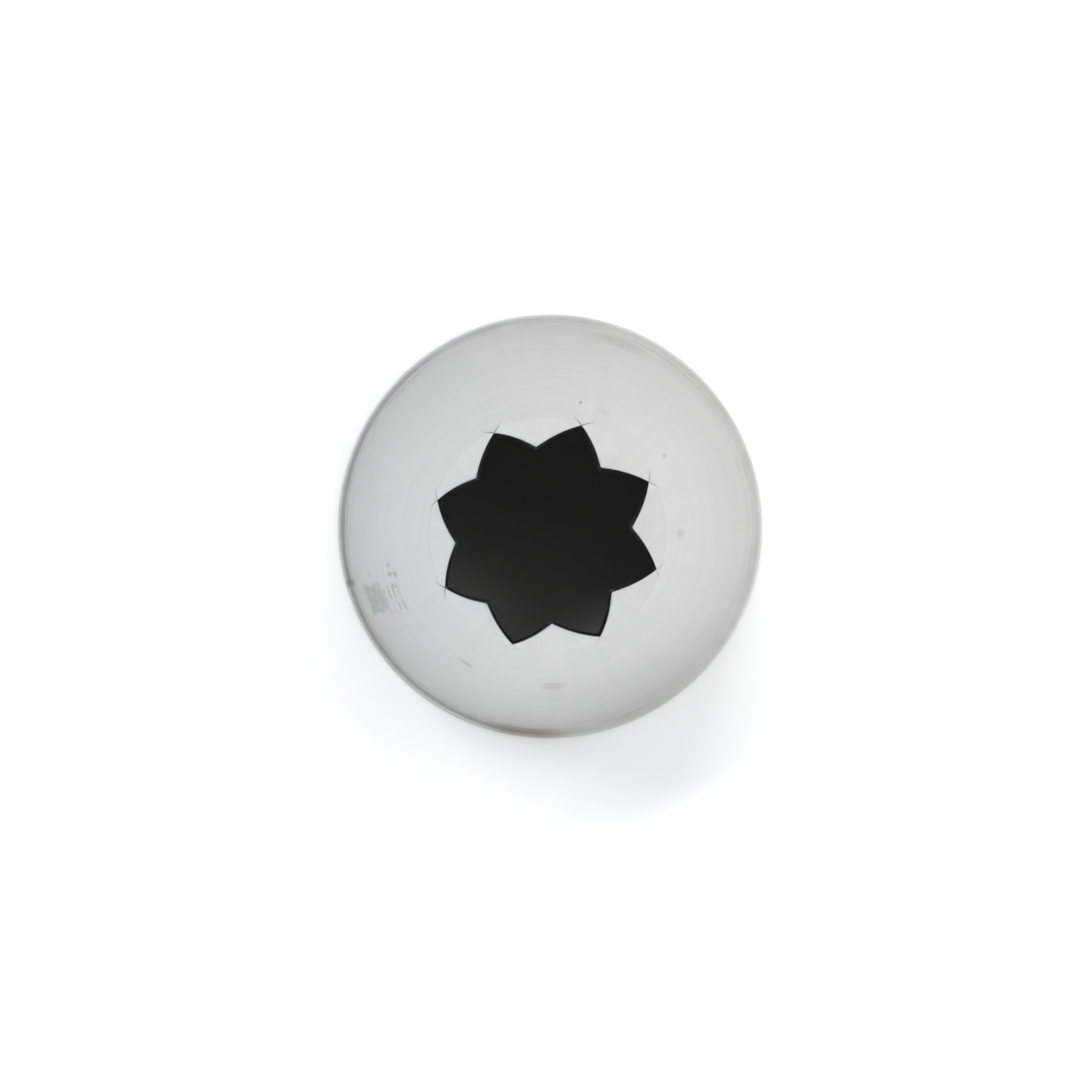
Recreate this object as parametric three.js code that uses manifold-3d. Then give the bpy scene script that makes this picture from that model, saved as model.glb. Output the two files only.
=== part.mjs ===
// Open star piping nozzle, the metal tip that shapes cream or icing.
// It is one seamless cone of thin stainless sheet. The wide end turns out over a short shoulder
// and is rolled under into a small rim, and the narrow end is cut into teeth that are pressed
// inwards round a star-shaped opening.
//
// Millimetres, +Z up. The nozzle stands on its rolled rim with the star at the top. The origin is
// on the axis, in the plane that the rim stands on, and one tooth points along +X.

import * as THREE from "three";
import { mergeVertices } from "three/addons/utils/BufferGeometryUtils.js";
import Module from "manifold-3d";

// ---- driving dimensions -------------------------------------------------------------------

const HEIGHT = 50;              // foot of the rim to the tips of the teeth
const RIM_DIAMETER = 34;        // across the rolled rim, the widest place
const SHEET = 0.4;              // thickness of the pressed sheet

const FLARE_RADIUS = 0.3;       // outside radius where the wall turns out above the rim
const SHOULDER = 0.28;          // length of the sloping shoulder between the flare and the roll
const SHOULDER_FACING = 57;     // degrees above level that the shoulder faces
const ROLL_RADIUS = 0.6;        // outside radius of the rim that is rolled under it
const ROLL_END = -135;          // degrees, where the sheet's edge ends inside the roll
const FOOT_HALF_ANGLE = 20;     // the part of the roll, each side of its lowest point, pressed flat

const CREASE_DIAMETER = 17.8;   // across the fold where the teeth begin
const CREASE_HEIGHT = 47.2;     // height of that fold

const TEETH = 8;
const STAR_OUTER_DIAMETER = 17.2;   // across the valleys between the teeth
const STAR_INNER_DIAMETER = 13.32;  // across the tips of the teeth
const EDGE_HOLLOW = 0.055;          // depth of a tooth's hollow side, as a share of its length

const TURN_SEGMENTS = 72;       // facets round the cone, a multiple of the teeth
const EDGE_SEGMENTS = 6;        // facets along one side of a tooth

// ---- worked out from them -----------------------------------------------------------------

const RIM_RADIUS = RIM_DIAMETER / 2;
const CREASE_RADIUS = CREASE_DIAMETER / 2;
const TIP_RADIUS = STAR_INNER_DIAMETER / 2;
const VALLEY_RADIUS = STAR_OUTER_DIAMETER / 2;
const ROLL_HOLLOW = ROLL_RADIUS - SHEET;

const radians = THREE.MathUtils.degToRad;

// A section point holds its distance from the axis in x and its height in y.
const point = (r, z) => new THREE.Vector2(r, z);

const rollCentre = point(
  RIM_RADIUS - ROLL_RADIUS,
  ROLL_RADIUS * Math.cos(radians(FOOT_HALF_ANGLE)),
);
const crease = point(CREASE_RADIUS, CREASE_HEIGHT);
const toothTip = point(TIP_RADIUS, HEIGHT);

// The flare's centre lies outside the wall, up the shoulder from the roll, and the shoulder
// touches both arcs.
const facing = point(Math.cos(radians(SHOULDER_FACING)), Math.sin(radians(SHOULDER_FACING)));
const upShoulder = point(-facing.y, facing.x);
const flareCentre = rollCentre.clone()
  .addScaledVector(facing, ROLL_RADIUS + FLARE_RADIUS)
  .addScaledVector(upShoulder, SHOULDER);

// The cone's outer line runs from the crease down to the flare, and touches it.
function coneLean() {
  const run = flareCentre.x - crease.x;
  const rise = crease.y - flareCentre.y;
  return Math.acos(FLARE_RADIUS / Math.hypot(run, rise)) - Math.atan2(rise, run);
}

// The teeth lie on a second, flatter cone from the crease to the tips.
function toothLean() {
  return Math.atan2(crease.x - toothTip.x, toothTip.y - crease.y);
}

// Unit vector out of the sheet's inner face, where the wall leans in by this angle.
const inward = (lean) => point(-Math.cos(lean), -Math.sin(lean));

// The corner where the cone's inner face meets the teeth's, behind the crease.
function innerCrease() {
  const below = inward(coneLean());
  const above = inward(toothLean());
  const share = SHEET / (1 + below.dot(above));
  return crease.clone().addScaledVector(below.add(above), share);
}

function arc(centre, radius, fromDegrees, toDegrees, steps) {
  const points = [];
  for (let i = 0; i <= steps; i += 1) {
    const angle = radians(fromDegrees + ((toDegrees - fromDegrees) * i) / steps);
    points.push(point(centre.x + radius * Math.cos(angle), centre.y + radius * Math.sin(angle)));
  }
  return points;
}

// ---- the pressed shell, before the star is cut --------------------------------------------

// The closed section of the sheet: down the inside, round the hollow of the roll, back round
// the outside of the roll with its flat foot, over the shoulder, and up the outside.
function sheetSection() {
  const wallSide = 180 + THREE.MathUtils.radToDeg(coneLean());
  const flareEnd = 180 + SHOULDER_FACING;
  const footStart = -90 - FOOT_HALF_ANGLE;
  const footEnd = -90 + FOOT_HALF_ANGLE;

  // The tooth cone is drawn a little past the tips, and the star cut gives them their points.
  const overshoot = point(-Math.sin(toothLean()), Math.cos(toothLean())).multiplyScalar(SHEET);
  const topOutside = toothTip.clone().add(overshoot);
  const topInside = topOutside.clone().addScaledVector(inward(toothLean()), SHEET);

  return [
    topInside,
    innerCrease(),
    ...arc(flareCentre, FLARE_RADIUS + SHEET, wallSide, flareEnd, 4),
    ...arc(rollCentre, ROLL_HOLLOW, SHOULDER_FACING, ROLL_END, 7),
    ...arc(rollCentre, ROLL_RADIUS, ROLL_END, footStart, 1),
    ...arc(rollCentre, ROLL_RADIUS, footEnd, 0, 4),
    ...arc(rollCentre, ROLL_RADIUS, 0, SHOULDER_FACING, 3).slice(1),
    ...arc(flareCentre, FLARE_RADIUS, flareEnd, wallSide, 4),
    crease,
    topOutside,
    topInside.clone(),
  ];
}

// ---- the star opening ---------------------------------------------------------------------

// One side of a tooth is a shallow arc that bulges away from the axis.
function addToothSide(outline, from, to) {
  const middle = from.clone().add(to).multiplyScalar(0.5);
  const side = to.clone().sub(from);
  const across = point(side.y, -side.x);
  const control = middle.addScaledVector(across, 2 * EDGE_HOLLOW);
  outline.quadraticCurveTo(control.x, control.y, to.x, to.y);
}

function starOutline() {
  const corner = (index) => {
    const radius = index % 2 === 0 ? TIP_RADIUS : VALLEY_RADIUS;
    const angle = (index * Math.PI) / TEETH;
    return point(radius * Math.cos(angle), radius * Math.sin(angle));
  };
  const outline = new THREE.Shape();
  outline.moveTo(corner(0).x, corner(0).y);
  for (let index = 0; index < 2 * TEETH; index += 1) {
    addToothSide(outline, corner(index), corner((index + 1) % (2 * TEETH)));
  }
  return outline;
}

// The cutter starts in the empty cone below the teeth and ends above them.
function starCutter() {
  const reach = 3;
  const bottom = CREASE_HEIGHT - reach;
  const cutter = new THREE.ExtrudeGeometry(starOutline(), {
    depth: HEIGHT + reach - bottom,
    curveSegments: EDGE_SEGMENTS,
    bevelEnabled: false,
  });
  return cutter.translate(0, 0, bottom);
}

// ---- joining and cutting ------------------------------------------------------------------

const wasm = await Module();
wasm.setup();

function toSolid(geometry) {
  const bare = geometry.clone();
  bare.deleteAttribute("normal");
  bare.deleteAttribute("uv");
  const merged = mergeVertices(bare, 1e-4);
  return new wasm.Manifold(new wasm.Mesh({
    numProp: 3,
    vertProperties: new Float32Array(merged.attributes.position.array),
    triVerts: new Uint32Array(merged.index.array),
  }));
}

function toGeometry(solid) {
  const mesh = solid.getMesh();
  const geometry = new THREE.BufferGeometry();
  geometry.setAttribute("position", new THREE.BufferAttribute(mesh.vertProperties, 3));
  geometry.setIndex(new THREE.BufferAttribute(mesh.triVerts, 1));
  geometry.computeVertexNormals();
  return geometry;
}

// ---- the nozzle ---------------------------------------------------------------------------

const steel = new THREE.MeshStandardMaterial({ color: 0xc9cacb, metalness: 1, roughness: 0.38 });

function starNozzle() {
  // A lathe turns about Y, so the shell is stood up to put its axis on Z.
  const shell = new THREE.LatheGeometry(sheetSection(), TURN_SEGMENTS).rotateX(Math.PI / 2);
  const cut = toSolid(shell).subtract(toSolid(starCutter()));
  const mesh = new THREE.Mesh(toGeometry(cut), steel);
  mesh.name = "star_nozzle";
  return mesh;
}

const nozzle = new THREE.Group();
nozzle.add(starNozzle());

export default nozzle;
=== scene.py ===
"""Open star piping nozzle: one seamless cone of satin stainless sheet, standing on its rolled rim.

The sheet is one closed mesh, swept round the axis: the teeth, the fold below them, the long cone,
the rolled rim, and back up the inside. Lengths are in millimetres until they reach Blender.
"""

import math

import bpy
import numpy as np
from mathutils import Matrix, Vector


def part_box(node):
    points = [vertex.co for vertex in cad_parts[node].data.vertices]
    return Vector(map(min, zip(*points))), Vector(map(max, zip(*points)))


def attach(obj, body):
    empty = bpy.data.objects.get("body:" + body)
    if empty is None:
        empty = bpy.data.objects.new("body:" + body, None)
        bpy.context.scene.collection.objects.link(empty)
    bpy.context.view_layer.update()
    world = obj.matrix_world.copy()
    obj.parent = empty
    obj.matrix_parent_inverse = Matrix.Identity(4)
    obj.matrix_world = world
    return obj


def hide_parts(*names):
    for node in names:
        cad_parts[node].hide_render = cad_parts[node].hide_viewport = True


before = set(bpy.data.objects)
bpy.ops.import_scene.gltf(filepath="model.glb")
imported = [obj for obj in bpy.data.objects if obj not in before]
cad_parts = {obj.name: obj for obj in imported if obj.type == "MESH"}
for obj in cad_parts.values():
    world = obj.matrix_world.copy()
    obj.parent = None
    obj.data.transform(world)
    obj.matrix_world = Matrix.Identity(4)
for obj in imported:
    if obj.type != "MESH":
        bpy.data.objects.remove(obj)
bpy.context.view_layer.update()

MM = 0.001
NODE = "star_nozzle"

# ---- the nozzle's sizes --------------------------------------------------------------------

cad_low, cad_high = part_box(NODE)
RIM_RADIUS = cad_high.x / MM
HEIGHT = cad_high.z / MM

SHEET = 0.4                 # thickness of the pressed sheet
FLARE_RADIUS = 0.3          # outside radius where the wall turns out above the rim
SHOULDER = 0.28             # length of the sloping shoulder between the flare and the roll
SHOULDER_FACING = 57        # degrees above level that the shoulder faces
ROLL_RADIUS = 0.6           # outside radius of the rim that is rolled under it
ROLL_END = -135             # degrees, where the sheet's edge ends inside the roll
FOOT_HALF_ANGLE = 20        # degrees of the roll, each side of its lowest point, pressed flat
CREASE_RADIUS = 8.9         # the fold where the teeth begin
CREASE_HEIGHT = 47.2
CREASE_FILLET = 0.5         # outside radius of that fold

TEETH = 8
VALLEY_RADIUS = 8.6         # the star's outer points, between the teeth
TIP_RADIUS = 6.66           # the tips of the teeth
EDGE_HOLLOW = 0.055         # depth of a tooth's hollow side, as a share of its length
TIP_BLUNT = 1.1             # degrees round the axis over which a tip is blunted
TIP_SHIFT = 0.25            # how far off centre the teeth were pressed
TIP_SHIFT_TOWARDS = 175     # degrees round the axis

EDGE_BEVEL = 0.035          # the cut edges' tiny rounding

# Score lines run on past each valley, where the cutter left the sheet.
SCORE_ANGLE = 58.7          # degrees from straight outwards, one line to each side
SCORE_LENGTH = 0.95
SCORE_HALF_WIDTH = 0.065
SCORE_DEPTH = 0.04
SCORE_STRENGTH = (0.75, 1.0, 1.0, 0.75, 1.0, 0.3, 0.25, 0.4)  # valley by valley, from +X round

# Low ridges that the drawing tool left round the cone: height, width and how proud they stand.
DRAW_RINGS = ((24.0, 0.55, 0.014), (33.5, 0.5, 0.013), (40.5, 0.6, 0.006))

RIM_WOBBLE = 0.09           # the rim is this much out of round

# ---- mesh resolution -----------------------------------------------------------------------

COARSE_COLUMNS = 15         # across half a tooth, from its tip
FINE_COLUMNS = 16           # beside each valley, where the score lines are
FINE_ANGLE = 5.6            # degrees each side of a valley


def unit(angle):
    """Unit vectors at these angles, in radians."""
    return np.stack([np.cos(angle), np.sin(angle)], axis=-1)


# ---- the section of the sheet --------------------------------------------------------------

def facing(lean):
    """Which way a face looks when it is turned up by this angle, as (radius, height)."""
    return np.array([math.cos(lean), math.sin(lean)])


SHOULDER_LEAN = math.radians(SHOULDER_FACING)
OFF_SHOULDER = facing(SHOULDER_LEAN)
UP_SHOULDER = np.array([-math.sin(SHOULDER_LEAN), math.cos(SHOULDER_LEAN)])
ROLL_HEIGHT = ROLL_RADIUS * math.cos(math.radians(FOOT_HALF_ANGLE))
ROLL_CENTRE = np.array([RIM_RADIUS - ROLL_RADIUS, ROLL_HEIGHT])
FLARE_CENTRE = ROLL_CENTRE + (ROLL_RADIUS + FLARE_RADIUS) * OFF_SHOULDER + SHOULDER * UP_SHOULDER
CREASE = np.array([CREASE_RADIUS, CREASE_HEIGHT])
TOOTH_LEAN = math.atan2(CREASE_RADIUS - TIP_RADIUS, HEIGHT - CREASE_HEIGHT)


def cone_lean():
    """The wall's lean from upright: its outer line runs from the crease and touches the flare."""
    run, rise = FLARE_CENTRE[0] - CREASE[0], CREASE[1] - FLARE_CENTRE[1]
    return math.acos(FLARE_RADIUS / math.hypot(run, rise)) - math.atan2(rise, run)


CONE_LEAN = cone_lean()


def fold_arc(count):
    """Facing angles along the fold below the teeth, and the centre of its arc."""
    half_bend = (TOOTH_LEAN - CONE_LEAN) / 2
    middle = (TOOTH_LEAN + CONE_LEAN) / 2
    centre = CREASE - facing(middle) * CREASE_FILLET / math.cos(half_bend)
    return np.linspace(TOOTH_LEAN, CONE_LEAN, count), centre


def cone_heights(top, foot, fine):
    """Heights of the cone's rows: close together near the fold for the score lines, and at each
    draw ring. The inside needs far fewer."""
    if not fine:
        return np.linspace(top - 0.8, foot + 0.8, 14)
    near_fold = top - np.linspace(0.06, 1.5, 20)
    at_rings = [height + width * np.linspace(-2, 2, 9) for height, width, _ in DRAW_RINGS]
    between = np.linspace(near_fold[-1] - 1.5, foot + 1.0, 14)
    return np.sort(np.concatenate([near_fold, *at_rings, between]))[::-1]


def wall_section(fine):
    """Points down the wall's outer face, from the end of the teeth to the sheet's rolled edge, with
    the direction through the sheet at each one."""
    leans, centre = fold_arc(7 if fine else 5)
    fold = [(centre + CREASE_FILLET * facing(lean), -facing(lean)) for lean in leans]

    top = fold[-1][0]
    foot = FLARE_CENTRE - FLARE_RADIUS * facing(CONE_LEAN)
    shares = (top[1] - cone_heights(top[1], foot[1], fine)) / (top[1] - foot[1])
    cone = [(top + share * (foot - top), -facing(CONE_LEAN)) for share in shares]

    flare_angles = np.linspace(CONE_LEAN, SHOULDER_LEAN, 9 if fine else 6)
    flare = [(FLARE_CENTRE - FLARE_RADIUS * facing(angle), -facing(angle)) for angle in flare_angles]
    shoulder_top = flare[-1][0]
    down_shoulder = [shoulder_top - share * SHOULDER * UP_SHOULDER for share in (0.3, 0.7)]
    shoulder = [(place, -OFF_SHOULDER) for place in down_shoulder]
    roll_angles = np.linspace(SHOULDER_LEAN, math.radians(ROLL_END), 28)
    roll = [(ROLL_CENTRE + ROLL_RADIUS * facing(angle), -facing(angle)) for angle in roll_angles]

    points, through = zip(*fold, *cone, *flare, *shoulder, *roll)
    return np.array(points), np.array(through)


def flatten_foot(points):
    """The rim's lowest stretch is pressed flat where the nozzle stands on it."""
    points[:, 1] = np.maximum(points[:, 1], 0)
    return points


# ---- the star ------------------------------------------------------------------------------

def column_angles():
    """Angles of the mesh's columns, in degrees: coarse across the teeth, fine beside the valleys."""
    half = 180 / TEETH
    coarse = np.linspace(0, half - FINE_ANGLE, COARSE_COLUMNS + 1)[:-1]
    fine = np.linspace(half - FINE_ANGLE, half, FINE_COLUMNS + 1)[:-1]
    rising = np.concatenate([coarse, fine])
    falling = 2 * half - np.concatenate([[half], rising[:0:-1]])
    tooth = np.concatenate([rising, falling])
    return np.concatenate([tooth + 2 * half * index for index in range(TEETH)])


def star_radius(angles):
    """How far the star's edge is from the axis at each angle, in degrees from a tooth's middle.
    Each side of a tooth is an arc from its tip to the valley, bulging away from the axis."""
    half = 180 / TEETH
    folded = np.abs((angles + half) % (2 * half) - half)
    blunted = np.sqrt(folded ** 2 + TIP_BLUNT ** 2) - TIP_BLUNT
    from_tip = np.radians(blunted * half / (math.sqrt(half ** 2 + TIP_BLUNT ** 2) - TIP_BLUNT))
    tip = np.array([TIP_RADIUS, 0])
    valley = VALLEY_RADIUS * unit(math.radians(half))
    side = valley - tip
    length = np.hypot(*side)
    bulge = EDGE_HOLLOW * length
    radius = length ** 2 / (8 * bulge) + bulge / 2
    outward = np.array([side[1], -side[0]]) / length
    centre = (tip + valley) / 2 - outward * (radius - bulge)
    ray = unit(from_tip)
    along = ray @ centre
    return along + np.sqrt(along ** 2 - centre @ centre + radius ** 2)


def score_mask(plan):
    """How much of a score line each point holds, from 0 to 1, by its place seen along the axis."""
    half = math.pi / TEETH
    angle = np.arctan2(plan[..., 1], plan[..., 0])
    sector = np.floor(angle / (2 * half)).astype(int) % TEETH
    turned = angle - (2 * np.floor(angle / (2 * half)) + 1) * half
    radius = np.hypot(plan[..., 0], plan[..., 1])
    along_axis = radius * np.cos(turned) - VALLEY_RADIUS
    across = radius * np.sin(turned)
    mask = np.zeros(radius.shape)
    edge_angle = math.radians(SCORE_ANGLE)
    for side in (-1, 1):
        direction = np.array([math.cos(edge_angle), side * math.sin(edge_angle)])
        forward = along_axis * direction[0] + across * direction[1]
        sideways = np.abs(-along_axis * direction[1] + across * direction[0])
        taper = np.clip(1 - forward / SCORE_LENGTH, 0, 1) ** 0.5
        reach = np.clip(1 + forward / SCORE_HALF_WIDTH, 0, 1)
        line = np.clip(1 - sideways / (SCORE_HALF_WIDTH * np.maximum(taper, 0.05)), 0, 1)
        mask = np.maximum(mask, line * (taper > 0) * reach)
    return mask * np.array(SCORE_STRENGTH)[sector]


# ---- the mesh ------------------------------------------------------------------------------

def tooth_rows(edge_radius, count, bevel):
    """Radii of a tooth's rows for every column, from the star's edge to the start of the fold."""
    tangent = CREASE_FILLET * math.tan((TOOTH_LEAN - CONE_LEAN) / 2)
    fold_start = CREASE_RADIUS - tangent * math.sin(TOOTH_LEAN)
    near = edge_radius + bevel * math.sin(TOOTH_LEAN)
    share = np.linspace(0, 1, count + 1)[:-1, None]
    return near + share * (fold_start - near)


def tooth_point(radius, depth):
    """A point this far below the teeth's outer face, at this radius on it, as (radius, height)."""
    height = CREASE_HEIGHT + (CREASE_RADIUS - radius) / math.tan(TOOTH_LEAN)
    return np.stack([radius, height], axis=-1) - depth * facing(TOOTH_LEAN)


def spread(section, columns):
    """The same section points for every column."""
    return np.repeat(section[:, None, :], columns, axis=1)


def build_rows(angles):
    """Every row of the closed sheet as (radius, height) for each column, with the names of the
    stretches that the rows belong to."""
    columns = len(angles)
    edge = star_radius(angles)
    wall = flatten_foot(wall_section(fine=True)[0])
    inner_wall, through = wall_section(fine=False)
    inner_wall = inner_wall + SHEET * through
    rows, stretch = [], []

    def add(points, name):
        rows.append(points)
        stretch.extend([name] * len(points))

    # outside: teeth, fold, cone, flare, shoulder, roll
    add(tooth_point(tooth_rows(edge, 12, EDGE_BEVEL), 0), "teeth")
    add(spread(wall, columns), "outside")

    # the sheet's rolled edge
    tail = [wall[-1] + share * (inner_wall[-1] - wall[-1]) for share in (0.15, 0.5, 0.85)]
    add(spread(np.array(tail), columns), "tail")

    # back along the other face
    add(spread(inner_wall[::-1], columns), "inside")
    add(tooth_point(tooth_rows(edge, 5, EDGE_BEVEL)[::-1], SHEET), "inner_teeth")

    # the cut face between the two, square to the sheet, with tiny rounded corners
    for share in (0.09, 0.3, 0.5, 0.7, 0.91):
        depth = SHEET * (1 - share)
        add(tooth_point(edge, depth)[None], "cut")
    return np.concatenate(rows), np.array(stretch)


def shift_teeth(plan, radius):
    """Moves the teeth's tips off centre, and leaves the fold and all below it where they are."""
    share = np.clip((CREASE_RADIUS - radius) / (CREASE_RADIUS - TIP_RADIUS), 0, None)
    return plan + TIP_SHIFT * share[..., None] * unit(math.radians(TIP_SHIFT_TOWARDS))


def wobble(angles, heights):
    """How much the wall is drawn in, because the rim isn't quite round."""
    oval = np.cos(2 * np.radians(angles - 35))
    three_sided = np.cos(3 * np.radians(angles - 95))
    share = np.clip(1 - heights / CREASE_HEIGHT, 0, 1)
    return RIM_WOBBLE * (0.5 - 0.35 * oval - 0.15 * three_sided) * share


def ridges(angles, heights):
    """How far the draw rings stand proud. They fade in and out round the cone."""
    turn = np.radians(angles)
    total = np.zeros(heights.shape)
    for index, (height, width, proud) in enumerate(DRAW_RINGS):
        fade = 0.55 + 0.3 * np.sin(turn * 2 + 1.7 * index) + 0.15 * np.sin(turn * 5 + 2.9 * index)
        total += proud * fade * np.exp(-((heights - height) / width) ** 2)
    return total


def build_nozzle():
    angles = column_angles()
    rows, stretch = build_rows(angles)
    count, columns = rows.shape[:2]
    radius, height = rows[..., 0], rows[..., 1]
    direction = unit(np.radians(angles))[None]
    plan = radius[..., None] * direction

    # score lines, cut into the outer face only
    outer = np.isin(stretch, ("teeth", "outside"))[:, None] & (height > CREASE_HEIGHT - 3)
    score = np.where(outer, score_mask(plan), 0)
    lean = np.where(radius < CREASE_RADIUS, TOOTH_LEAN, CONE_LEAN)
    radius = radius - SCORE_DEPTH * score * np.cos(lean)
    height = height - SCORE_DEPTH * score * np.sin(lean)

    # the wall's own unevenness
    on_wall = np.isin(stretch, ("outside", "inside"))[:, None]
    radius = radius - wobble(angles[None], height)
    radius = radius + np.where(on_wall, ridges(angles[None], height), 0)
    above_fold = np.where(height > CREASE_HEIGHT, radius, CREASE_RADIUS)
    plan = shift_teeth(radius[..., None] * direction, above_fold)

    vertices = np.concatenate([plan, height[..., None]], axis=-1).reshape(-1, 3) * MM
    row, column = np.meshgrid(np.arange(count), np.arange(columns), indexing="ij")
    next_row, next_column = (row + 1) % count, (column + 1) % columns
    faces = np.stack([
        row * columns + column,
        next_row * columns + column,
        next_row * columns + next_column,
        row * columns + next_column,
    ], axis=-1).reshape(-1, 4)

    mesh = bpy.data.meshes.new("nozzle_sheet")
    mesh.from_pydata(vertices.tolist(), [], faces.tolist())
    mesh.polygons.foreach_set("use_smooth", np.ones(len(faces), bool))
    add_attribute(mesh, "score", score)
    cut = np.isin(stretch, ("cut", "tail"))[:, None] * np.ones((1, columns))
    add_attribute(mesh, "cut_edge", cut)
    unroll(mesh, rows, stretch, angles)
    mesh.update()
    return bpy.data.objects.new("nozzle_sheet", mesh)


def add_attribute(mesh, name, values):
    attribute = mesh.attributes.new(name, "FLOAT", "POINT")
    attribute.data.foreach_set("value", values.reshape(-1).astype(np.float32))


def unroll(mesh, rows, stretch, angles):
    """A flat layout of the sheet: round the axis across, and along the section up, with more room
    for the teeth and the outside than for the inside."""
    room = {"teeth": 3.0, "outside": 1.2, "tail": 2.0, "inside": 0.45, "inner_teeth": 1.0, "cut": 3.0}
    count, columns = rows.shape[:2]
    middle = rows[:, 0]
    steps = np.hypot(*(np.roll(middle, -1, axis=0) - middle).T) * [room[name] for name in stretch]
    along = np.concatenate([[0], np.cumsum(steps)]) / steps.sum()
    across = np.concatenate([angles, [360]]) / 360
    row, column = np.meshgrid(np.arange(count), np.arange(columns), indexing="ij")
    corners = [(0, 0), (1, 0), (1, 1), (0, 1)]
    layout = np.stack([
        np.stack([across[column + right], along[row + up]], axis=-1) for up, right in corners
    ], axis=2)
    layer = mesh.uv_layers.new(name="OFBake")
    layer.data.foreach_set("uv", layout.reshape(-1).astype(np.float32))


# ---- materials -----------------------------------------------------------------------------

class Nodes:
    """Adds nodes to a material's or the world's tree, and links or sets what each input is given."""

    def __init__(self, tree):
        self.tree = tree
        tree.nodes.clear()

    def add(self, kind, inputs=None, **settings):
        node = self.tree.nodes.new(kind)
        for name, value in settings.items():
            setattr(node, name, value)
        for key, value in (inputs or {}).items():
            if isinstance(value, bpy.types.NodeSocket):
                self.tree.links.new(value, node.inputs[key])
            else:
                node.inputs[key].default_value = value
        return node

    def math(self, operation, *values):
        return self.add("ShaderNodeMath", dict(enumerate(values)), operation=operation).outputs[0]

    def vector(self, x, y, z):
        return self.add("ShaderNodeCombineXYZ", {0: x, 1: y, 2: z}).outputs[0]

    def stretched(self, place, *factors):
        """A place with its x, y and z multiplied by these."""
        return self.vector(*(self.math("MULTIPLY", *pair) for pair in zip(place, factors)))

    def noise(self, vector, scale, detail=3.0, roughness=0.55):
        node = self.add(
            "ShaderNodeTexNoise",
            {"Vector": vector, "Scale": scale, "Detail": detail, "Roughness": roughness},
        )
        return node.outputs["Fac"]

    def ramp(self, value, low, high, to_low=0.0, to_high=1.0):
        """Smoothly from to_low at low to to_high at high."""
        node = self.add(
            "ShaderNodeMapRange",
            {"Value": value, "From Min": low, "From Max": high, "To Min": to_low, "To Max": to_high},
            interpolation_type="SMOOTHSTEP",
        )
        return node.outputs["Result"]

    def mix(self, share, first, second):
        node = self.add("ShaderNodeMix", {0: share, 6: first, 7: second}, data_type="RGBA")
        return node.outputs[2]

    def along(self, place, direction):
        """How far a place lies along a direction."""
        node = self.add("ShaderNodeVectorMath", {0: place, 1: direction}, operation="DOT_PRODUCT")
        return node.outputs["Value"]

    def attribute(self, name):
        return self.add("ShaderNodeAttribute", attribute_name=name).outputs["Fac"]

    def surface(self, inputs):
        shader = self.add("ShaderNodeBsdfPrincipled", inputs)
        self.add("ShaderNodeOutputMaterial", {"Surface": shader.outputs[0]})


STEEL = (0.572, 0.569, 0.565, 1)
PAINTED_BLUE_SHADE = (0.2, 0.25, 0.31, 1)
BROWN_SHADE_AND_TARNISH = (0.25, 0.222, 0.16, 1)
STAIN = (0.2, 0.197, 0.192, 1)
SCORED = (0.1, 0.1, 0.105, 1)
# the cut faces and the sheet's rolled edge are painted near black, as painted shade
SHADED_CUT_EDGE = (0.05, 0.05, 0.052, 1)

# Handling marks on the cone and the rim: degrees round the axis, height, half width round the cone,
# half height, and how dark from 0 to 1.
MARKS = (
    (64, 5.0, 2.2, 2.6, 0.2),
    (267, 28.4, 0.9, 2.2, 0.25),
    (233, 28.3, 0.6, 1.0, 0.4),
    (71, 39.2, 0.13, 0.8, 0.7),
    (28.5, 36.5, 0.2, 1.2, 0.35),
    (355, 40.2, 0.35, 2.0, 0.2),
    (60.6, 39.6, 0.6, 1.6, 0.14),
    (187.4, 23.6, 0.2, 0.9, 0.45),
    (190.3, 23.3, 0.2, 1.1, 0.5),
    (190.8, 26.2, 0.25, 1.2, 0.55),
    (194.5, 23.2, 0.25, 1.0, 0.4),
    (189.3, 12.0, 0.3, 1.3, 0.2),
    (190.8, 1.2, 0.3, 0.6, 0.5),
)

# A worn, greyed patch low on the cone: its middle round the axis and up, and its half sizes. Above
# it the wear breaks up into short strokes round the cone.
WORN_PATCH = (197, 11.3, 1.25, 5.0)
WORN_STROKES = (199.0, 21.0, 1.2, 5.4)
STROKE_PITCH = 2.7

# Brown painted shade on the rim and in the crook above it, on one side: how high it reaches, and the
# angle where it's strongest. On the far side it's gone. It's thickest in one spot, given as a mark is,
# which is partly real tarnish and partly painted shade.
RIM_SHADE_HEIGHT = 1.9
RIM_SHADE_ANGLE = 232
SHADE_AND_TARNISH_SPOT = (258, 0.7, 3.4, 1.3, 0.65)

# Painted light round the cone: painted shade makes the steel darker towards one angle, and a painted
# reflection of the room's cool shaded side makes it faintly blue towards another.
PAINTED_SHADE_ANGLE = 135
PAINTED_BLUE_ANGLE = 178


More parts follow.
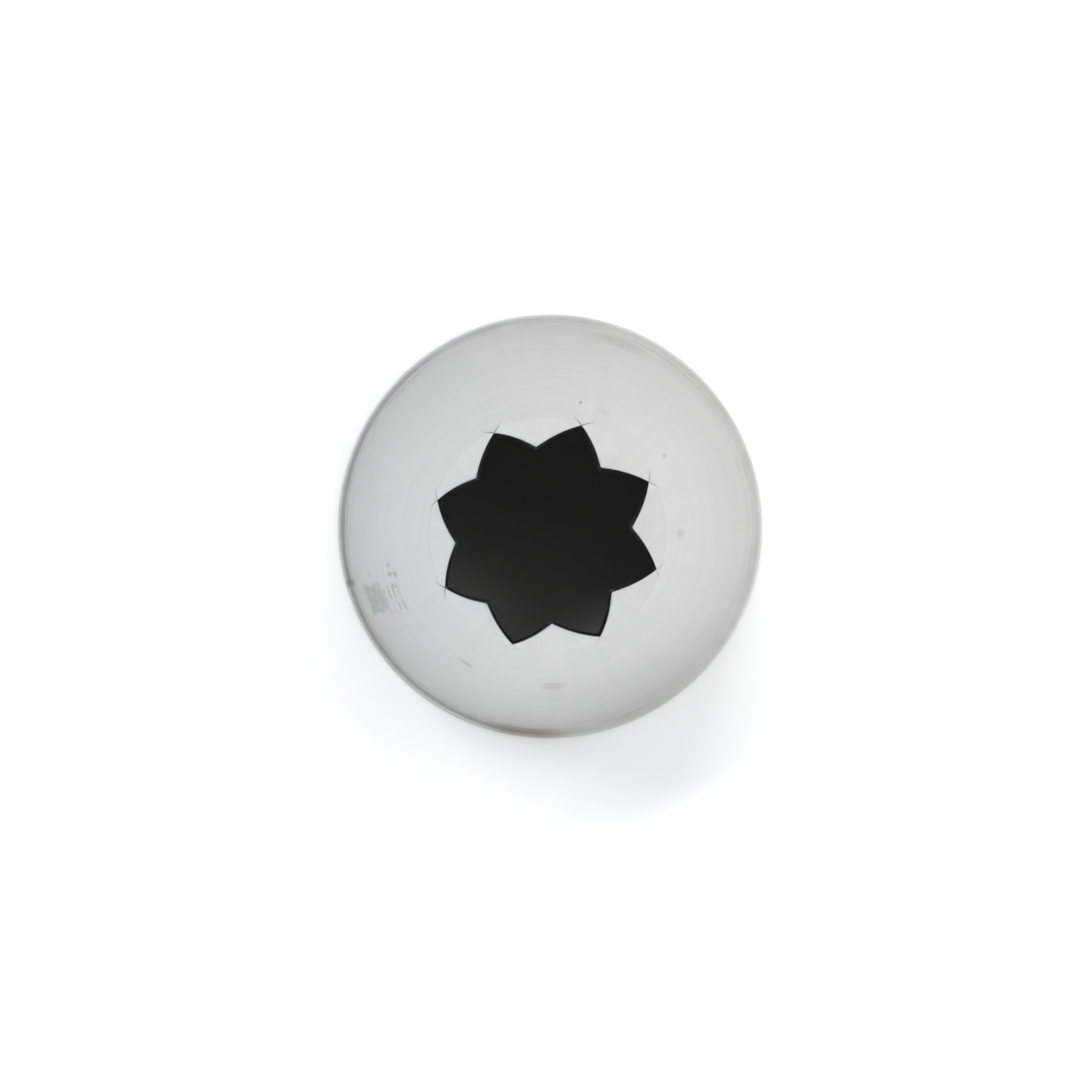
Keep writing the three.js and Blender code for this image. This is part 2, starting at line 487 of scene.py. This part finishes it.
class SteelNodes(Nodes):
    """The nodes of the nozzle's steel. They know where a point lies on the nozzle, in millimetres
    and radians, and hold the noises that its finish is made from."""

    def __init__(self, tree):
        super().__init__(tree)
        metres = self.add("ShaderNodeSeparateXYZ", {0: self.add("ShaderNodeTexCoord").outputs["Object"]})
        x, y, z = (self.math("DIVIDE", value, MM) for value in metres.outputs)
        self.z = z
        self.turn = self.math("ARCTAN2", y, x)
        self.radius = self.math(
            "SQRT", self.math("ADD", self.math("MULTIPLY", x, x), self.math("MULTIPLY", y, y))
        )

        # grain round the cone from drawing and polishing, and streaks along it
        place = (x, y, z)
        round_place = (self.math("COSINE", self.turn), self.math("SINE", self.turn), z)
        self.grain = self.noise(self.stretched(place, 0.12, 0.12, 2.2), 1.6, 5)
        self.spun = self.noise(self.stretched(place, 0.05, 0.05, 0.35), 1.0, 4)
        self.streaks = self.noise(self.stretched(round_place, 12, 12, 0.03), 1.0, 4)
        self.cloud = self.noise(self.stretched(place, 1, 1, 0.35), 0.22, 3)
        self.speck = self.noise(self.vector(*place), 9.0, 2)
        self.broken = self.noise(self.stretched(place, 1, 1, 0.22), 1.5, 3, 0.6)

    def towards(self, angle):
        """1 on the side of the cone that faces this angle, -1 on the opposite side."""
        return self.math("COSINE", self.math("SUBTRACT", self.turn, math.radians(angle)))

    def offsets(self, angle, height, half_width, half_height):
        """How far off a place on the cone is, round it and up it, in half widths and half heights."""
        away = self.math("SUBTRACT", self.turn, math.radians(angle))
        away = self.math("WRAP", away, math.pi, -math.pi)
        across = self.math("DIVIDE", self.math("MULTIPLY", away, self.radius), half_width)
        up = self.math("DIVIDE", self.math("SUBTRACT", self.z, height), half_height)
        return across, up

    def mark(self, angle, height, half_width, half_height, dark):
        """A soft oval mark on the cone, this dark in its middle."""
        across, up = self.offsets(angle, height, half_width, half_height)
        from_middle = self.math(
            "ADD", self.math("MULTIPLY", across, across), self.math("MULTIPLY", up, up)
        )
        return self.ramp(from_middle, 0.0, 1.8, dark, 0.0)

    def block(self, angle, height, half_width, half_height):
        """1 inside a squarish patch with ragged edges, 0 outside it."""
        ragged = self.ramp(self.broken, 0.3, 0.7, -0.18, 0.18)
        inside = 1.0
        for offset in self.offsets(angle, height, half_width, half_height):
            from_middle = self.math("ADD", self.math("ABSOLUTE", offset), ragged)
            inside = self.math("MULTIPLY", inside, self.ramp(from_middle, 0.85, 1.1, 1.0, 0.0))
        return inside

    def dirt(self):
        """The handling marks, the worn patch and its strokes."""
        marks = 0.0
        for values in MARKS:
            marks = self.math("MAXIMUM", marks, self.mark(*values))
        marks = self.math("MULTIPLY", marks, self.ramp(self.broken, 0.3, 0.6, 0.75, 1.05))

        patch = self.ramp(self.broken, 0.3, 0.5, 0.15, 0.42)
        patch = self.math("MULTIPLY", self.block(*WORN_PATCH), patch)

        wave = self.math("SINE", self.math("MULTIPLY", self.z, 2 * math.pi / STROKE_PITCH))
        strokes = self.ramp(self.broken, 0.42, 0.54, 0.0, 0.4)
        strokes = self.math("MULTIPLY", self.ramp(wave, -0.5, 0.6), strokes)
        strokes = self.math("MULTIPLY", self.block(*WORN_STROKES), strokes)
        return self.math("MAXIMUM", marks, self.math("MAXIMUM", patch, strokes))

    def shade_and_tarnish(self):
        """Painted shade, brown, low on one side, more of it on the roll's outermost face, and one thick
        spot that is partly real tarnish and partly painted shade.
        """
        side = self.towards(RIM_SHADE_ANGLE)
        low = self.ramp(self.z, RIM_SHADE_HEIGHT - 0.6, RIM_SHADE_HEIGHT, 1.0, 0.0)
        rim_shade = self.math("MULTIPLY", self.ramp(side, -0.3, 0.7, 0.0, 0.17), low)
        lowest = self.ramp(self.z, 0.6, 1.1, 1.0, 0.0)
        outermost = self.math("MULTIPLY", self.ramp(side, 0.4, 1.0, 0.0, 0.5), lowest)
        rim_shade = self.math("MAXIMUM", rim_shade, outermost)
        return self.math("MAXIMUM", rim_shade, self.mark(*SHADE_AND_TARNISH_SPOT))

    def tone(self):
        """How bright the bare steel is. Besides its random variation it carries painted light: painted
        shade makes it darker down the cone, on one side and in a thin line along the fold between cone
        and teeth, and painted highlight makes the rim, the cone's foot just above it and the teeth
        brighter."""
        from_fold = self.math("ABSOLUTE", self.math("SUBTRACT", self.z, CREASE_HEIGHT - 0.1))
        shares = (
            self.ramp(self.spun, 0.3, 0.7, 0.98, 1.02),
            self.ramp(self.streaks, 0.3, 0.7, 0.982, 1.015),
            self.ramp(self.cloud, 0.3, 0.7, 0.96, 1.03),
            self.ramp(self.grain, 0.3, 0.7, 0.99, 1.01),
            # painted shade: darker down the cone towards its foot
            self.ramp(self.z, 3.0, 44.0, 0.87, 1.0),
            # painted highlight: the rim and the lowest few millimetres of the cone brighter
            self.ramp(self.z, 1.4, 4.5, 1.3, 1.0),
            # painted highlight: the teeth brighter than the cone
            self.ramp(self.z, CREASE_HEIGHT - 0.4, CREASE_HEIGHT + 0.3, 1.0, 1.28),
            # painted shade: darker on one side of the cone
            self.ramp(self.towards(PAINTED_SHADE_ANGLE), -0.6, 0.7, 1.0, 0.95),
            # painted shade: a thin darker line along the fold
            self.ramp(from_fold, 0.05, 0.22, 0.93, 1.0),
        )
        tone = 1.0
        for share in shares:
            tone = self.math("MULTIPLY", tone, share)
        return tone

    def colour(self, dirt, cut):
        """The bare steel with its painted light, then painted blue shade on one side, painted shade and
        tarnish on the rim, dirt, score lines, and cut edges painted near black as shade, over it.
        """
        bare = self.add("ShaderNodeVectorMath", {0: STEEL[:3], 3: self.tone()}, operation="SCALE")
        # painted reflection: a faint blue tint on one side, from the room's cool shaded side
        blue = self.ramp(self.towards(PAINTED_BLUE_ANGLE), 0.2, 0.95, 0.0, 0.06)
        blue = self.math("MULTIPLY", blue, self.ramp(self.z, 2.0, 4.0))
        burr = self.ramp(self.speck, 0.66, 0.72)
        # painted shade: the cut faces near black, except for bare burr flecks
        shaded_cut = self.math("MULTIPLY", cut, self.math("SUBTRACT", 1.0, burr))
        colour = self.mix(blue, bare.outputs[0], PAINTED_BLUE_SHADE)
        # painted shade on one side of the rim in brown, with real tarnish in one spot
        colour = self.mix(self.shade_and_tarnish(), colour, BROWN_SHADE_AND_TARNISH)
        colour = self.mix(dirt, colour, STAIN)
        colour = self.mix(self.attribute("score"), colour, SCORED)
        return self.mix(shaded_cut, colour, SHADED_CUT_EDGE)

    def roughness(self, dirt, cut):
        rough = self.ramp(self.cloud, 0.3, 0.7, 0.34, 0.4)
        rough = self.math("ADD", rough, self.ramp(self.grain, 0.3, 0.7, -0.03, 0.03))
        return self.math("ADD", rough, self.math("MULTIPLY", self.math("MAXIMUM", dirt, cut), 0.2))

    def relief(self):
        height = self.math("ADD", self.grain, self.math("MULTIPLY", self.speck, 0.35))
        node = self.add("ShaderNodeBump", {"Strength": 0.25, "Distance": 0.02 * MM, "Height": height})
        return node.outputs[0]


def satin_steel():
    material = bpy.data.materials.new("satin_steel")
    material.use_nodes = True
    n = SteelNodes(material.node_tree)
    dirt = n.dirt()
    cut = n.attribute("cut_edge")
    n.surface({
        "Base Color": n.colour(dirt, cut),
        "Metallic": 1.0,
        "Roughness": n.roughness(dirt, cut),
        "Normal": n.relief(),
    })
    return material


# ---- the stage: floor, card, lights and camera ---------------------------------------------

# Directions on the floor are given as they look in the camera's view: 0 is right and 90 is up.
VIEW_ROLL = -5              # degrees from the nozzle's +X to the view's right
CAMERA_HEIGHT = 700
CAMERA_TILT = 0.9           # degrees off straight down
CAMERA_SIDE = 71.7          # the direction in which it stands off to the side
AIM_RIGHT = -0.79           # where it aims on the floor, from the nozzle's axis
AIM_UP = -1.09
LENS = 291                  # focal length on a 36 mm wide sensor


def view_direction(degrees):
    angle = math.radians(degrees + VIEW_ROLL)
    return Vector((math.cos(angle), math.sin(angle), 0))


def floor_white():
    material = bpy.data.materials.new("floor_white")
    material.use_nodes = True
    white = (0.86, 0.86, 0.86, 1)
    n = Nodes(material.node_tree)
    n.surface({"Base Color": white, "Roughness": 0.6, "Specular IOR Level": 0.2})
    return material


def shade_card_with_painted_light():
    """Matt black card under the nozzle, standing in for the shade inside it, with painted light: a
    little paler towards the view's lower left, where light falls in through the star.
    """
    material = bpy.data.materials.new("shade_card_with_painted_light")
    material.use_nodes = True
    n = Nodes(material.node_tree)
    place = n.add("ShaderNodeTexCoord").outputs["Object"]
    # painted light: paler towards the lower left, where light falls in through the star
    share = n.ramp(n.along(place, view_direction(235)), -2 * MM, 10 * MM)
    colour = n.mix(share, (0.14, 0.14, 0.14, 1), (0.25, 0.25, 0.25, 1))
    n.surface({"Base Color": colour, "Roughness": 0.9, "Specular IOR Level": 0.2})
    return material


def disc(name, radius, height, material):
    """A flat round piece of the stage, lying at this height."""
    mesh = bpy.data.meshes.new(name)
    ring = unit(np.linspace(0, 2 * math.pi, 96, endpoint=False)) * radius
    mesh.from_pydata([(px, py, height) for px, py in ring], [], [list(range(len(ring)))])
    mesh.materials.append(material)
    flat = bpy.data.objects.new(name, mesh)
    bpy.context.scene.collection.objects.link(flat)


def softbox(name, direction, elevation, distance, width, depth, power):
    """A white rectangular light that faces the nozzle. Its direction is as the view shows it, its
    distance and sides are in metres, and its power is in watts."""
    data = bpy.data.lights.new(name, "AREA")
    data.shape = "RECTANGLE"
    data.size = width
    data.size_y = depth
    data.energy = power
    lamp = bpy.data.objects.new(name, data)
    flat = view_direction(direction) * math.cos(math.radians(elevation))
    lamp.location = (flat + Vector((0, 0, math.sin(math.radians(elevation))))) * distance
    lamp.rotation_euler = (-lamp.location).to_track_quat("-Z", "Y").to_euler()
    bpy.context.scene.collection.objects.link(lamp)


def studio_world():
    """A pale room, darker above the horizon towards the view's lower left. It fades into the floor's
    far tone at the horizon."""
    world = bpy.data.worlds.new("studio")
    world.use_nodes = True
    bpy.context.scene.world = world
    n = Nodes(world.node_tree)
    direction = n.add("ShaderNodeTexCoord").outputs["Generated"]
    up = n.add("ShaderNodeSeparateXYZ", {0: direction}).outputs[2]
    side = n.ramp(n.along(direction, view_direction(212)), -0.9, 0.5)
    band = n.math("MULTIPLY", n.ramp(up, 0.08, 0.3), n.ramp(up, 0.55, 0.85, 1.0, 0.0))
    colour = n.mix(n.math("MULTIPLY", side, band), (1.0, 1.0, 1.0, 1), (0.45, 0.49, 0.53, 1))
    haze = n.ramp(up, -0.02, 0.12, 0.8, 1.0)
    strength = n.math("MULTIPLY", haze, 0.82)
    background = n.add("ShaderNodeBackground", {"Color": colour, "Strength": strength})
    n.add("ShaderNodeOutputWorld", {"Surface": background.outputs[0]})


def camera():
    """Almost straight down, from a long way off. The view's centre falls a little to the lower left
    of the nozzle's foot, and the camera stands over a point up and to the right of it."""
    data = bpy.data.cameras.new("camera")
    data.sensor_width = 36
    data.lens = LENS
    data.clip_start = 0.01
    data.clip_end = 100
    eye = bpy.data.objects.new("camera", data)
    aim = (AIM_RIGHT * view_direction(0) + AIM_UP * view_direction(90)) * MM
    sideways = math.tan(math.radians(CAMERA_TILT)) * view_direction(CAMERA_SIDE)
    eye.location = aim + CAMERA_HEIGHT * MM * (sideways + Vector((0, 0, 1)))
    forward = (aim - eye.location).normalized()
    right = forward.cross(view_direction(90)).normalized()
    eye.rotation_euler = Matrix((right, right.cross(forward), -forward)).transposed().to_euler()
    bpy.context.scene.collection.objects.link(eye)
    bpy.context.scene.camera = eye


# ---- put together --------------------------------------------------------------------------

camera()

nozzle = build_nozzle()
nozzle.data.materials.append(satin_steel())
bpy.context.scene.collection.objects.link(nozzle)
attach(nozzle, "root")
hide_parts(NODE)

disc("floor", 2000 * MM, 0, floor_white())
# a black card under the nozzle stands in for the shade inside it
disc("inside_shade_card", 15 * MM, 0.1 * MM, shade_card_with_painted_light())
studio_world()
softbox("overhead", 60, 84, 1.3, 1.2, 1.2, 3.1)
softbox("top_key", 116, 72.5, 1.0, 0.22, 0.05, 3.0)
softbox("right_key", 48, 74, 1.0, 0.2, 0.06, 1.1)
softbox("low_fill", 290, 45, 1.0, 0.3, 0.3, 1.1)
bpy.context.scene.view_settings.view_transform = "Standard"
